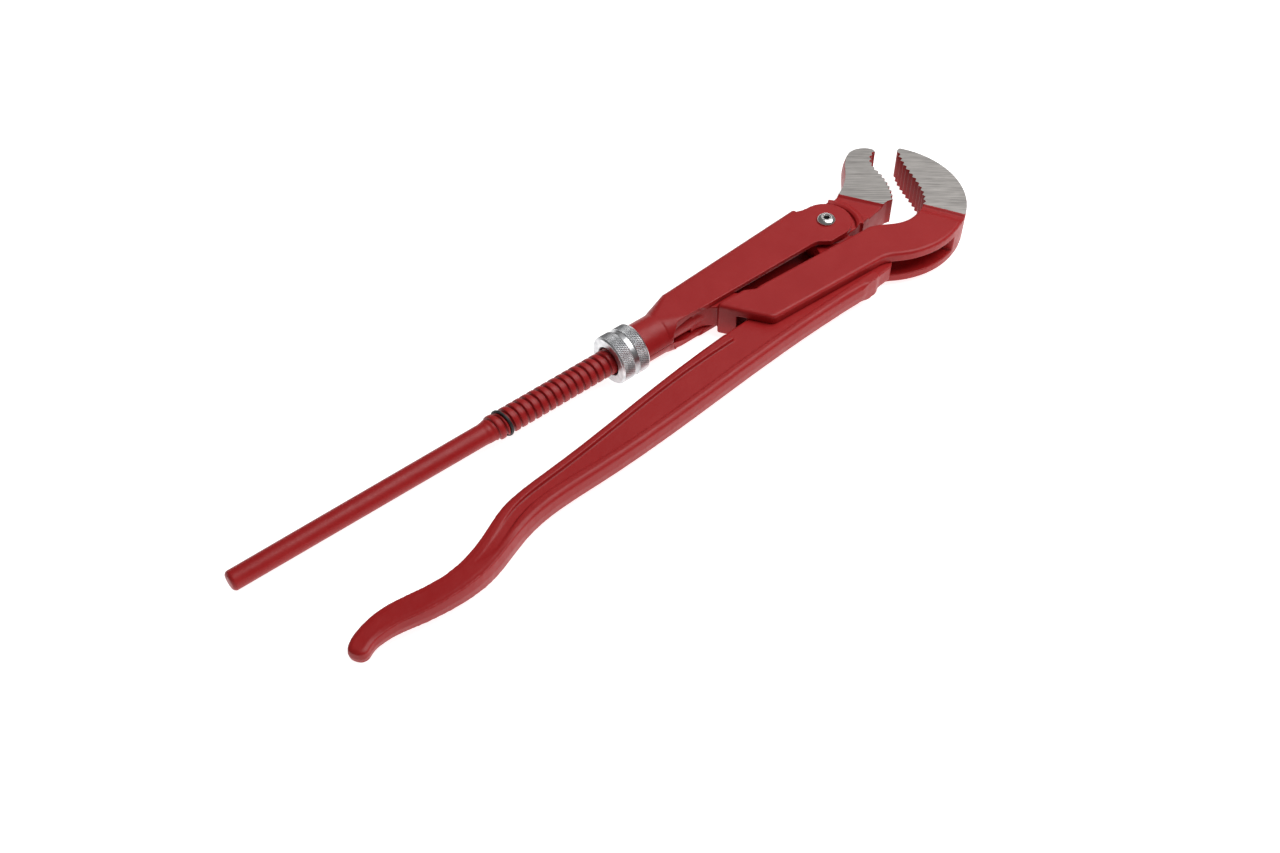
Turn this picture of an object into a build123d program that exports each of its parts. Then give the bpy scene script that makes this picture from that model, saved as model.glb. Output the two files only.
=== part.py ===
"""Swedish-pattern pipe wrench with S-shaped jaws, for pipe up to two inches.

The long leg is one forging: hook jaw, slotted body, thread and round handle.
The lever leg passes through the slot of the body and carries the small jaw.
A folded steel link runs on the thread, carries the lever on a pivot and is set by a knurled nut.

Everything is drawn with the thread axis as X, the mid plane of the tool as Z = 0 and
the rear face of the nut at X = 0, and is then placed by PLACE, so that the origin
of the finished tool is the middle of the bottom of its box. All sizes are millimetres.
"""
from build123d import *
import os

# ---- where the finished tool stands -------------------------------------------------
PLACE = (-12.4, 21.3, 15.5)

# ---- thread, shank and round handle of the hook leg ----------------------------------
THREAD_R = 8.1
THREAD_ROOT_R = 6.8
THREAD_PITCH = 5.2
THREAD_CREST = 2.6
THREAD_START_X = -92.0
THREAD_END_X = 42.0
HANDLE_END_X = -262.0
HANDLE_END_R = 6.1
HANDLE_NECK_R = 6.6
HANDLE_CHAMFER = 2.0
SHANK_END_X = 74.0

# ---- stop ring at the handle end of the thread ----------------------------------------
STOP_RING_X = -81.0
STOP_RING_WIRE_R = 1.1
STOP_RING_R = THREAD_ROOT_R + STOP_RING_WIRE_R + 0.05

# ---- hook body -----------------------------------------------------------------------
BODY_HALF = 12.4
SLOT_HALF = 5.8
BODY_EDGE_R = 2.4
WEB_HALF = 8.1
HOOK_TIP = (279.0, 23.8)
HOOK_TOOTH_END = (247.0, -27.0)
JAW_HALF = 10.8
VALLEY_HALF = 9.8

# ---- teeth ----------------------------------------------------------------------------
TOOTH_DEPTH = 2.0
HOOK_TEETH = 12
SMALL_TEETH = 12

# ---- lever leg ------------------------------------------------------------------------
PIVOT_X = 184.0
PIVOT_Y = 1.0
LEVER_HALF = 7.5
PANEL_HALF = 5.5
NECK_HALF = 8.1
SMALL_JAW_HALF = 9.8
LEVER_EDGE_R = 1.8
HANDLE_SPLIT_X = 140.0
HUB_R = 16.0
COLLAR_R = 17.6
COLLAR_OUT_R = 21.6

# ---- folded link ------------------------------------------------------------------------
SHEET = 3.6
LINK_HALF = 12.0
LINK_INSIDE = LINK_HALF - SHEET
LOBE_R = 17.0
SLEEVE_R = 13.2
SLEEVE_BORE_R = 9.4
SLEEVE_START_X = 8.2
SLEEVE_END_X = 38.0
CHANNEL_START_X = 56.0
WEB_END_X = 175.0
LINK_OPEN_Y = -10.0
SEAM = 0.7

# ---- adjusting nut ----------------------------------------------------------------------
NUT_R = 15.5
NUT_LENGTH = 19.3
NUT_BORE_R = THREAD_R + 0.35
NUT_MOUTH_R = 9.8
NUT_SEAT_R = SLEEVE_R + 0.35
NUT_SEAT_X = 7.8
NUT_WAIST_R = 14.7
NUT_WAIST = (7.6, 11.7)

# ---- retaining ring between nut and sleeve -----------------------------------------------
RETAIN_X = 15.0
RETAIN_WIDTH = 1.6
RETAIN_IN_R = 12.4
RETAIN_OUT_R = 14.1

# ---- pivot ---------------------------------------------------------------------------------
PIVOT_BARREL_R = 4.5
PIVOT_FIT = 0.05
PIVOT_HEAD_R = 6.0
PIVOT_HEAD_H = 2.6
PIVOT_SCREW_R = 3.0
PIVOT_SOCKET = 4.0


def plate(outline, half, middle=0.0):
    """A flat solid of the closed outline, reaching half above and below middle."""
    face = make_face(outline)
    return extrude(Pos(0, 0, middle - half) * face, amount=2 * half)


def joined(*edges):
    """The edges as one list, in order."""
    return Curve() + list(edges)


def tooth_cuts(line, count, depth, side):
    """Notches of a saw profile along the line, cut through the whole thickness."""
    cuts = []
    for index in range(count):
        start = line @ (index / count)
        end = line @ ((index + 1) / count)
        along = (end - start).normalized()
        inward = Vector(-along.Y, along.X) * side
        root = start + (end - start) * 0.5 + inward * depth
        over = inward * -0.6
        notch = Polyline(start + over, start, root, end, end + over, close=True)
        cuts.append(plate(notch, BODY_HALF + 1))
    return cuts


# ---- hook leg -------------------------------------------------------------------------

def hook_tooth_line():
    """The tooth crests of the hook jaw, from the throat to the tip."""
    return Spline(HOOK_TOOTH_END, (253.5, -20.0), (261.0, -5.0), (266.5, 10.0), (274.0, 22.6))


def hook_outline():
    """The outline of hook jaw and body in plan."""
    throat = Spline((201, -21), (210, -25), (219, -30.2), (229, -32.4), (238, -30.8), HOOK_TOOTH_END)
    tip = Polyline((274.0, 22.6), (275.5, 24.4), (278, 24.8), HOOK_TIP)
    outer = ThreePointArc(HOOK_TIP, (286.1, -14.0), (246, -59))
    belly = ThreePointArc((246, -59), (219, -61.4), (195, -52.2))
    flank = Spline((195, -52.2), (191, -50.0), (185, -48.6))
    side = Line((185, -48.6), (98, -45.2))
    corner = ThreePointArc((98, -45.2), (94.8, -44.4), (92.4, -42))
    tail = Polyline((92.4, -42), (75, -15), (77, -12.8), (97, -13), (103.5, -17), (201, -21))
    return joined(throat, hook_tooth_line(), tip, outer, belly, flank, side, corner, tail)


def plateau_keeper():
    """The space behind the line where the thick body ends and the ground jaw begins."""
    return plate(Polyline((60, 0), (221, 0), (253.9, -64), (253.9, -70), (60, -70), close=True), 20)


def valley_cutter():
    """A shallow channel between body and ground jaw, on both sides of the tool."""
    run = Vector(13.0, -25.2).normalized()
    across = Vector(-run.Y, run.X)
    start = Vector(236.4, -31.0) - run * 14
    section = Plane(origin=(start.X, start.Y, 0), x_dir=across, z_dir=run)
    floor = VALLEY_HALF
    points = [(0, BODY_HALF), (5.0, floor), (9.0, floor), (10.4, JAW_HALF), (10.4, 30), (0, 30)]
    upper = extrude(section * make_face(Polyline(*points, close=True)), amount=60)
    return upper + mirror(upper, about=Plane.XY)


def slot_cutter():
    """The slot through which the lever passes, open above and below and blind at the jaw."""
    return plate(Polyline((81.5, -25.5), (89, -11), (205, -11), (222, -28), (243, -61), (243, -70),
                          (60, -70), (60, -58), close=True), SLOT_HALF)


def thread_profile():
    """Half section of thread and handle, turned about the X axis."""
    points = [(HANDLE_END_X, 0), (HANDLE_END_X, HANDLE_END_R - HANDLE_CHAMFER)]
    points.append((HANDLE_END_X + HANDLE_CHAMFER, HANDLE_END_R))
    points.append((THREAD_START_X - 4, HANDLE_NECK_R))
    points.append((THREAD_START_X, THREAD_ROOT_R))
    flank = (THREAD_PITCH - THREAD_CREST) / 4
    turns = int((THREAD_END_X - THREAD_START_X) / THREAD_PITCH)
    for turn in range(turns):
        x = THREAD_START_X + turn * THREAD_PITCH
        crest = x + 2 * flank
        if abs(crest + THREAD_CREST / 2 - STOP_RING_X) < THREAD_PITCH / 2:
            continue
        points += [(x + flank, THREAD_ROOT_R), (crest, THREAD_R)]
        points += [(crest + THREAD_CREST, THREAD_R), (crest + THREAD_CREST + flank, THREAD_ROOT_R)]
    points += [(THREAD_END_X, THREAD_ROOT_R), (THREAD_END_X + 2, THREAD_R)]
    points += [(SHANK_END_X, THREAD_R), (SHANK_END_X, 0)]
    return make_face(Polyline(*points, close=True))


def shank_block():
    """The web that joins the round shank to the two cheeks of the body."""
    edge = Polyline((60, 8.1), (76, 8.1), (88, -1), (100, -18), (88, -34), (78.5, -20.5))
    hollow = Spline((78.5, -20.5), (77.6, -14.5), (71, -8.6), (60, -7.2))
    return plate(joined(edge, hollow, Line((60, -7.2), (60, 8.1))), WEB_HALF)


def hook_jaw_leg():
    """Hook jaw, slotted body, shank, thread and round handle, forged in one."""
    outline = hook_outline()
    body = plate(outline, BODY_HALF) & plateau_keeper()
    top_edges = body.edges().filter_by(lambda e: abs(abs(e.center().Z) - BODY_HALF) < 0.01)
    body = fillet(top_edges.filter_by(lambda e: e.center().X < 243), BODY_EDGE_R)
    jaw = plate(outline, JAW_HALF)
    shank = revolve(thread_profile(), Axis.X)
    block = shank_block()
    leg = (body + jaw) - valley_cutter()
    leg = leg + block + shank
    leg -= slot_cutter()
    for notch in tooth_cuts(hook_tooth_line(), HOOK_TEETH, TOOTH_DEPTH, -1):
        leg -= notch
    return leg


# ---- lever leg --------------------------------------------------------------------------

def handle_edge():
    """The edge of the wavy handle, from the neck round the tip and back to the front lug."""
    return Spline((158, -31.5), (83, -31.2), (25, -36), (-86, -50.4), (-122, -56.6), (-143, -66.6),
                  (-170, -73.8), (-188, -72.6), (-204, -70.2), (-218, -70.6), (-228.5, -73.6),
                  (-234.6, -77.2), (-236.8, -80.4), (-236, -83.4), (-233.9, -86.2), (-230.9, -87),
                  (-226.5, -85), (-218, -83), (-208, -83.2), (-197, -85.2), (-179, -87.3),
                  (-151, -85.3), (-119, -74), (-62, -68.9), (60, -61), (125, -57.2), (168, -57))


def lever_outline():
    """The whole lever below its hub, in plan."""
    front = Polyline((168, -57), (173.5, -56.6), (178.5, -54.8), (189, -53.8), (193.5, -50.8), (204, -19),
                     (166, -8), (158, -31.5))
    return joined(handle_edge(), front)


def small_tooth_line():
    """The tooth crests of the small jaw, from its heel to its tip."""
    return Spline((236, -10.4), (242, -2.9), (247, 6.7), (250, 16), (251.6, 23.5), (256, 29.8), (263.6, 33.4))


def small_jaw_outline():
    """The small S-shaped jaw and the neck that joins it to the hub."""
    back = Spline((264.4, 36.6), (259.5, 42.4), (252, 44.8), (243, 41.6), (230, 29), (214, 18), (203, 15.5))
    tip = Line((263.6, 33.4), (264.4, 36.6))
    neck = Polyline((203, 15.5), (186, 17), (184, -14.4), (206, -13.6), (231, -9.2), (236, -10.4))
    return joined(small_tooth_line(), tip, back, neck)


def thin_part():
    """The space in front of and above the handle in which the lever fits the slot."""
    return plate(Polyline((179, -80), (176, -50), (84, -49.6), (62, -30.5), (62, 0), (250, 0),
                          (250, -80), close=True), 20)


def panel_pockets():
    """The sunken panels between the two rims of the handle, on both sides."""
    upper = Spline((66, -39), (25, -41.2), (-86, -55.4), (-119, -61.2), (-140, -71.6), (-156, -77.4))
    lower = Spline((-156, -77.4), (-146, -78.6), (-119, -68.6), (-62, -63.6), (60, -56), (176, -50.4))
    close = Polyline((176, -50.4), (176, -20), (66, -20), (66, -39))
    face = make_face(joined(upper, lower, close))
    pocket = extrude(Pos(0, 0, PANEL_HALF) * face, amount=10)
    return pocket + mirror(pocket, about=Plane.XY)


def lever_jaw_leg():
    """Small jaw, hub, slot tongue and I-section handle with its wavy end, forged in one."""
    whole = plate(lever_outline(), LEVER_HALF)
    behind = Pos(HANDLE_SPLIT_X - 500, 0, 0) * Box(1000, 400, 60)
    handle = whole & behind
    rims = handle.edges().filter_by(lambda e: e.length > 300 and abs(abs(e.center().Z) - LEVER_HALF) < 0.01)
    handle = fillet(rims, LEVER_EDGE_R) + (whole - behind)
    tongue = plate(lever_outline(), PANEL_HALF)
    handle = (handle - thin_part() - panel_pockets()) + tongue
    jaw = plate(small_jaw_outline(), SMALL_JAW_HALF)
    jaw -= Pos(PIVOT_X, PIVOT_Y, 0) * Cylinder(COLLAR_R, 60)
    neck = plate(small_jaw_outline(), NECK_HALF)
    hub = Pos(PIVOT_X, PIVOT_Y, 0) * Cylinder(HUB_R, 2 * NECK_HALF)
    leg = handle + jaw + neck + hub
    leg -= neck_relief()
    leg -= Pos(PIVOT_X, PIVOT_Y, 0) * Cylinder(PIVOT_BARREL_R + PIVOT_FIT, 60)
    for notch in tooth_cuts(small_tooth_line(), SMALL_TEETH, TOOTH_DEPTH, 1):
        leg -= notch
    return leg


def neck_relief():
    """The sunken face on both sides of the neck, between its collar ridge and the ground jaw."""
    run = Vector(-16.5, 27.7).normalized()
    across = Vector(-run.Y, run.X)
    start = Vector(228.0, -11.5) - run * 8
    section = Plane(origin=(start.X, start.Y, 0), x_dir=across, z_dir=run)
    points = [(0, SMALL_JAW_HALF), (1.8, NECK_HALF), (16, NECK_HALF), (16, 30), (0, 30)]
    upper = extrude(section * make_face(Polyline(*points, close=True)), amount=50)
    upper -= Pos(PIVOT_X, PIVOT_Y, 0) * Cylinder(COLLAR_OUT_R, 80)
    return upper + mirror(upper, about=Plane.XY)


# ---- link and what rides on it --------------------------------------------------------------

def section_at(x, low, high, half, radius):
    """A rounded rectangle across the link at x, from low to high in Y."""
    frame = Plane(origin=(x, (low + high) / 2, 0), x_dir=(0, 1, 0), z_dir=(1, 0, 0))
    return frame * RectangleRounded(high - low, 2 * half, radius)


def transition(shrink, half, radius):
    """The flare from round sleeve to flat channel, drawn smaller by shrink."""
    round_r = SLEEVE_R - shrink
    start = section_at(SLEEVE_END_X, -round_r, round_r, round_r, 0.93 * round_r)
    end = section_at(CHANNEL_START_X, -SLEEVE_R - 0.8 + shrink, 17 - shrink, half, radius)
    return loft([start, end])


def channel(shrink, half, radius):
    """The straight channel with its back wall at positive Y, drawn smaller by shrink."""
    far = 25 - shrink
    outline = Polyline((CHANNEL_START_X, -20), (CHANNEL_START_X, 17 - shrink), (WEB_END_X, far),
                       (WEB_END_X, -20), close=True)
    block = plate(outline, half)
    back = block.edges().filter_by(lambda e: abs(e.center().Z) > half - 0.1 and e.center().Y > 15 - shrink)
    back = back.filter_by(lambda e: 100 < e.center().X < 130)
    return fillet(back, radius)


def lobe(half):
    """The rounded front ends of the two cheeks."""
    outline = joined(
        Polyline((160, -9.8), (165, -10.6), (172, -16), (PIVOT_X, PIVOT_Y - LOBE_R)),
        ThreePointArc((PIVOT_X, PIVOT_Y - LOBE_R), (PIVOT_X + LOBE_R, PIVOT_Y), (PIVOT_X, PIVOT_Y + LOBE_R)),
        Polyline((PIVOT_X, PIVOT_Y + LOBE_R), (179, 18.6), (WEB_END_X, 20), (160, 20), (160, -9.8)),
    )
    return plate(outline, half)


def link_channel():
    """Folded steel link: sleeve round the thread, then two cheeks that hold the pivot."""
    sleeve_length = SLEEVE_END_X - SLEEVE_START_X
    outer = Pos(SLEEVE_START_X + sleeve_length / 2, 0, 0) * Rot(0, 90, 0) * Cylinder(SLEEVE_R, sleeve_length)
    outer += transition(0, LINK_HALF, 4.4)
    outer += channel(0, LINK_HALF, 5)
    mouth = Plane.XZ * Pos(CHANNEL_START_X, 0) * Ellipse(16, 14)
    outer -= extrude(Pos(0, -9.2, 0) * mouth, amount=20)
    outer -= plate(Polyline((CHANNEL_START_X - 6, LINK_OPEN_Y), (200, LINK_OPEN_Y), (200, -40),
                            (CHANNEL_START_X - 6, -40), close=True), 30)
    outer += lobe(LINK_HALF)
    bore = Pos(CHANNEL_START_X / 2, 0, 0) * Rot(0, 90, 0) * Cylinder(SLEEVE_BORE_R, CHANNEL_START_X)
    inside = transition(SLEEVE_R - SLEEVE_BORE_R, LINK_INSIDE, 1.6)
    inside += channel(SHEET, LINK_INSIDE, 2)
    inside += plate(Polyline((150, -40), (150, 15), (170, 21.3), (220, 21.3), (220, -40), close=True),
                    LINK_INSIDE)
    link = outer - bore - inside
    link -= Pos(24, -12, 0) * Box(48, 12, SEAM)
    link -= Pos(PIVOT_X, PIVOT_Y, 0) * Cylinder(PIVOT_BARREL_R + PIVOT_FIT, 60)
    link -= ring_of(RETAIN_X, RETAIN_WIDTH + 0.1, RETAIN_IN_R - 0.05, RETAIN_OUT_R + 1)
    return link


def ring_of(x, width, inner, outer):
    """A plain ring about the thread axis, with its middle at x."""
    across = Pos(x, 0, 0) * Rot(0, 90, 0)
    return across * Cylinder(outer, width) - across * Cylinder(inner, width + 2)


def adjusting_nut():
    """Round nut with two grip bands, a plain waist and a seat for the sleeve."""
    points = [(0, NUT_MOUTH_R), (0, NUT_R - 1.2), (1.0, NUT_R), (NUT_WAIST[0], NUT_R)]
    points += [(NUT_WAIST[0], NUT_WAIST_R), (NUT_WAIST[1], NUT_WAIST_R), (NUT_WAIST[1], NUT_R)]
    points += [(NUT_LENGTH - 1.0, NUT_R), (NUT_LENGTH, NUT_R - 1.2), (NUT_LENGTH, NUT_SEAT_R)]
    groove = RETAIN_WIDTH / 2 + 0.3
    points += [(RETAIN_X + groove, NUT_SEAT_R), (RETAIN_X + groove, RETAIN_OUT_R + 0.3)]
    points += [(RETAIN_X - groove, RETAIN_OUT_R + 0.3), (RETAIN_X - groove, NUT_SEAT_R)]
    points += [(NUT_SEAT_X, NUT_SEAT_R), (NUT_SEAT_X, NUT_BORE_R), (3.0, NUT_BORE_R)]
    return revolve(make_face(Polyline(*points, close=True)), Axis.X)


def retaining_ring():
    """Split spring ring that holds the nut on the sleeve and lets it turn."""
    gap = Pos(RETAIN_X, -RETAIN_IN_R, 0) * Box(RETAIN_WIDTH + 2, 8, 3)
    return ring_of(RETAIN_X, RETAIN_WIDTH, RETAIN_IN_R, RETAIN_OUT_R) - gap


def thread_stop_ring():
    """Round ring in a groove of the thread that stops the nut before it runs off."""
    return Pos(STOP_RING_X, 0, 0) * Rot(0, 90, 0) * Torus(STOP_RING_R, STOP_RING_WIRE_R)


def pivot_screw():
    """Domed screw with a hexagon socket, seated on the upper cheek."""
    head = Pos(PIVOT_X, PIVOT_Y, LINK_HALF) * extrude(Circle(PIVOT_HEAD_R), amount=PIVOT_HEAD_H)
    rim = head.edges().filter_by(lambda e: e.center().Z > LINK_HALF + 1)
    head = fillet(rim, PIVOT_HEAD_H - 0.4)
    stem = Pos(PIVOT_X, PIVOT_Y, LINK_HALF / 2) * Cylinder(PIVOT_SCREW_R, LINK_HALF)
    hexagon = RegularPolygon(PIVOT_SOCKET / 2, 6, major_radius=False)
    socket = Pos(PIVOT_X, PIVOT_Y, LINK_HALF + 0.4) * extrude(hexagon, amount=6)
    return head + stem - socket


def pivot_barrel():
    """Barrel nut on which the lever turns, with a low head under the lower cheek."""
    barrel = Pos(PIVOT_X, PIVOT_Y, 0) * Cylinder(PIVOT_BARREL_R, 2 * LINK_HALF)
    head = Pos(PIVOT_X, PIVOT_Y, -LINK_HALF) * extrude(Circle(PIVOT_HEAD_R), amount=-PIVOT_HEAD_H)
    rim = head.edges().filter_by(lambda e: e.center().Z < -LINK_HALF - 1)
    head = fillet(rim, PIVOT_HEAD_H - 0.4)
    bore = Pos(PIVOT_X, PIVOT_Y, LINK_HALF / 2) * Cylinder(PIVOT_SCREW_R, LINK_HALF + 0.02)
    return barrel + head - bore


PARTS = {
    "hook_jaw_leg": hook_jaw_leg,
    "thread_stop_ring": thread_stop_ring,
    "link_channel": link_channel,
    "nut_retaining_ring": retaining_ring,
    "adjusting_nut": adjusting_nut,
    "pivot_screw": pivot_screw,
    "pivot_barrel": pivot_barrel,
    "lever_jaw_leg": lever_jaw_leg,
}

os.makedirs("parts", exist_ok=True)
for name, make in PARTS.items():
    shape = Pos(*PLACE) * make()
    export_step(shape, f"parts/{name}.step")
    box = shape.bounding_box()
    print(name, len(shape.solids()), round(shape.volume, 1), box.min, box.max)
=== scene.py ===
"""The looks of a Swedish-pattern pipe wrench with S-shaped jaws.

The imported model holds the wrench's pieces, sizes and joints. Each class below takes one
piece of the tool and gives it the surface that a maker would see: soft forged edges under
red enamel, jaw faces ground to bright steel, a rolled thread, a knurled zinc nut, a folded
steel link and its domed pivot screw.

Meshes are worked out in the thread's own frame, in millimetres: X runs along the thread
from the handle to the jaws, x = 0 is the rear face of the adjusting nut, and Z is square to
the flat of the tool. They are turned into metres in the model's frame at the end.
"""
import logging
import math
from collections.abc import Callable
from dataclasses import dataclass
from enum import Enum

import bmesh
import bpy
import numpy as np
from mathutils import Matrix, Vector, kdtree


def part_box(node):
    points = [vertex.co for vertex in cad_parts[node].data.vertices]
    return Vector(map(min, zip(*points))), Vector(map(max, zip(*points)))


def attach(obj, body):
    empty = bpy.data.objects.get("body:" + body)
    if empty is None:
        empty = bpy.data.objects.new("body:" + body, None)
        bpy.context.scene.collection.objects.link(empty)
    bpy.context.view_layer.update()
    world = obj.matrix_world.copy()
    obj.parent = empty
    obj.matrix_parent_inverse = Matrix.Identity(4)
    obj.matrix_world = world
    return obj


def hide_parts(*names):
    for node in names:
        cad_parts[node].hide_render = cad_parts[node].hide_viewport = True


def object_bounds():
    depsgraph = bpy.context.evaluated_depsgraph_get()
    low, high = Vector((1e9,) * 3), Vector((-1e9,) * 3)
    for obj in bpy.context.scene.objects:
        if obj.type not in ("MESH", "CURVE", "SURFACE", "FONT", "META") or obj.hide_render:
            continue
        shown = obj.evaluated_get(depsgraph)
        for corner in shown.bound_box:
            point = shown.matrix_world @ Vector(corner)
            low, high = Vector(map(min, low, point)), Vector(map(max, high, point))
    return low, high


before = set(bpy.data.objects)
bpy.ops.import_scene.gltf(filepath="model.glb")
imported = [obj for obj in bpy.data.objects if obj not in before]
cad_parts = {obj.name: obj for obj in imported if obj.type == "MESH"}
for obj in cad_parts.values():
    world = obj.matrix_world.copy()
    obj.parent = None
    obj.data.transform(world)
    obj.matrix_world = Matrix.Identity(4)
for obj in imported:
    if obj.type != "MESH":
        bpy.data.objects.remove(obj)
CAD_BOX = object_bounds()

log = logging.getLogger("pipe_wrench")

MM = 0.001

# Places in the thread frame, in millimetres.
PIVOT = (184.0, 1.0)
RING_AT = -81.0
RING_TILT = 1.7

# How far a point moves towards its neighbours, and back again, in each round of easing.
EASE_PULL = 0.5
RECOVER_PULL = -0.47

Colour = tuple[float, float, float]
Span = tuple[float, float]


class Slot(Enum):
    """The material slots of the record that the pieces take their finishes from."""

    RED_ENAMEL = "red_enamel"
    GROUND_STEEL = "ground_steel"
    ZINC_PLATE = "zinc_plate"
    BRIGHT_STEEL = "bright_steel"
    SPRING_STEEL = "spring_steel"
    BLACK_RUBBER = "black_rubber"


class Body(Enum):
    """The moving bodies of the wrench."""

    HOOK_LEG = "hook_leg"
    LINK = "link"
    NUT = "nut"
    LEVER = "lever"


class Joining(Enum):
    """How one closed mesh is worked into another."""

    WELD = "UNION"
    CUT = "DIFFERENCE"


# ---- finishes ---------------------------------------------------------------------------


class NodeBench:
    """Lays out the shader nodes of one material."""

    def __init__(self, name: str) -> None:
        """Starts an empty material.

        Args:
            name: The material's name.
        """
        self.material = bpy.data.materials.new(name)
        self.material.use_nodes = True
        self.tree = self.material.node_tree
        self.tree.nodes.clear()
        self.output = self.add("ShaderNodeOutputMaterial")
        self.shader = self.add("ShaderNodeBsdfPrincipled")
        self.link(self.shader.outputs["BSDF"], self.output.inputs["Surface"])
        self.place = self.add("ShaderNodeTexCoord").outputs["Object"]

    def add(self, kind: str) -> bpy.types.Node:
        """Adds one node of that kind and returns it."""
        return self.tree.nodes.new(kind)

    def link(self, source: bpy.types.NodeSocket, target: bpy.types.NodeSocket) -> None:
        """Links an output to an input."""
        self.tree.links.new(source, target)

    def set_plain(self, **values: float) -> None:
        """Sets plain values on the shader, with underscores for the spaces in socket names."""
        for name, value in values.items():
            socket = name.replace("_", " ").title().replace("Ior", "IOR")
            self.shader.inputs[socket].default_value = value

    def stretched(self, scale: Colour, turn_deg: float = 0.0) -> bpy.types.NodeSocket:
        """The piece's own coordinates, turned about Z and scaled.

        Args:
            scale: Scale along each axis after the turn.
            turn_deg: Turn about Z, in degrees.

        Returns:
            The socket that carries the coordinates.
        """
        turn = self.add("ShaderNodeVectorRotate")
        turn.rotation_type = "Z_AXIS"
        turn.inputs["Angle"].default_value = math.radians(turn_deg)
        self.link(self.place, turn.inputs["Vector"])
        mapping = self.add("ShaderNodeMapping")
        mapping.inputs["Scale"].default_value = scale
        self.link(turn.outputs["Vector"], mapping.inputs["Vector"])
        return mapping.outputs["Vector"]

    def noise(self, per_metre: float, detail: float, at: bpy.types.NodeSocket | None = None,
              rough: float = 0.5) -> bpy.types.NodeSocket:
        """A noise field.

        Args:
            per_metre: How many features a metre holds.
            detail: Octaves of finer noise.
            at: Coordinates, or None for the piece's own.
            rough: Strength of the finer octaves.

        Returns:
            The socket of its value, from 0 to 1.
        """
        field = self.add("ShaderNodeTexNoise")
        field.inputs["Scale"].default_value = per_metre
        field.inputs["Detail"].default_value = detail
        field.inputs["Roughness"].default_value = rough
        self.link(at or self.place, field.inputs["Vector"])
        return field.outputs["Fac"]

    def remapped(self, value: bpy.types.NodeSocket, source: Span, result: Span) -> bpy.types.NodeSocket:
        """The value with its range moved and clamped.

        Args:
            value: The socket to read.
            source: Its lowest and highest value of interest.
            result: What those become.

        Returns:
            The socket of the new value.
        """
        ranged = self.add("ShaderNodeMapRange")
        ranged.inputs["From Min"].default_value, ranged.inputs["From Max"].default_value = source
        ranged.inputs["To Min"].default_value, ranged.inputs["To Max"].default_value = result
        self.link(value, ranged.inputs["Value"])
        return ranged.outputs["Result"]

    def blended(self, amount: bpy.types.NodeSocket, first: bpy.types.NodeSocket | Colour,
                second: bpy.types.NodeSocket | Colour) -> bpy.types.NodeSocket:
        """A colour between two colours.

        Args:
            amount: 0 for the first colour, 1 for the second.
            first: A colour or a socket.
            second: A colour or a socket.

        Returns:
            The socket of the mixed colour.
        """
        mix = self.add("ShaderNodeMix")
        mix.data_type = "RGBA"
        for source, target in ((first, mix.inputs["A"]), (second, mix.inputs["B"])):
            if isinstance(source, bpy.types.NodeSocket):
                self.link(source, target)
            else:
                target.default_value = (*source, 1.0)
        self.link(amount, mix.inputs["Factor"])
        return mix.outputs["Result"]

    def bump(self, height: bpy.types.NodeSocket, depth_mm: float,
             under: bpy.types.NodeSocket | None = None) -> bpy.types.NodeSocket:
        """A bump of the given depth.

        Args:
            height: Height field from 0 to 1.
            depth_mm: Depth of the full range, in millimetres.
            under: The normal of the bump below this one.

        Returns:
            The socket of the bumped normal.
        """
        bump = self.add("ShaderNodeBump")
        bump.inputs["Strength"].default_value = 1.0
        bump.inputs["Distance"].default_value = depth_mm * MM
        self.link(height, bump.inputs["Height"])
        if under is not None:
            self.link(under, bump.inputs["Normal"])
        return bump.outputs["Normal"]

    def finish(self, colour: bpy.types.NodeSocket, roughness: bpy.types.NodeSocket,
               normal: bpy.types.NodeSocket) -> bpy.types.Material:
        """Links the three fields to the shader.

        Args:
            colour: The colour field.
            roughness: The roughness field.
            normal: The bumped normal.

        Returns:
            The finished material.
        """
        self.link(colour, self.shader.inputs["Base Color"])
        self.link(roughness, self.shader.inputs["Roughness"])
        self.link(normal, self.shader.inputs["Normal"])
        return self.material


@dataclass(frozen=True)
class RedEnamel:
    """Satin red enamel, sprayed over forged or pressed steel."""

    slot: Slot = Slot.RED_ENAMEL
    full: Colour = (0.335, 0.0095, 0.0105)
    # A lighter red, used both for random patches of thinner enamel and, on ridges, as a painted highlight.
    thin: Colour = (0.385, 0.0190, 0.0190)
    # Colour of the painted shade that darkens corners and creases.
    painted_corner_shade: Colour = (0.120, 0.0035, 0.0045)
    forged_depth: float = 0.35
    peel_depth: float = 0.030

    def material(self) -> bpy.types.Material:
        """Enamel with a painted highlight on ridges, painted shade in corners, and slightly uneven all over.

        Returns:
            The material.
        """
        bench = NodeBench(self.slot.value)
        cloud = bench.noise(45, 3)
        spread = bench.blended(bench.remapped(cloud, (0.3, 0.7), (0.0, 0.45)), self.full, self.thin)
        ridge = bench.add("ShaderNodeNewGeometry").outputs["Pointiness"]
        # Painted highlight: ridges are lightened towards the lighter red.
        with_edge_highlight = bench.blended(bench.remapped(ridge, (0.515, 0.56), (0.0, 0.45)), spread, self.thin)
        # Painted shade: hollows and corners are darkened.
        with_painted_shade = bench.blended(bench.remapped(ridge, (0.49, 0.455), (0.0, 0.85)), with_edge_highlight, self.painted_corner_shade)
        peel = bench.noise(620, 2)
        forged = bench.noise(95, 3, rough=0.55)
        roughness = bench.remapped(bench.noise(160, 4), (0.3, 0.7), (0.36, 0.47))
        normal = bench.bump(peel, self.peel_depth, bench.bump(forged, self.forged_depth))
        bench.set_plain(specular_ior_level=0.28)
        return bench.finish(with_painted_shade, roughness, normal)


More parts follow.
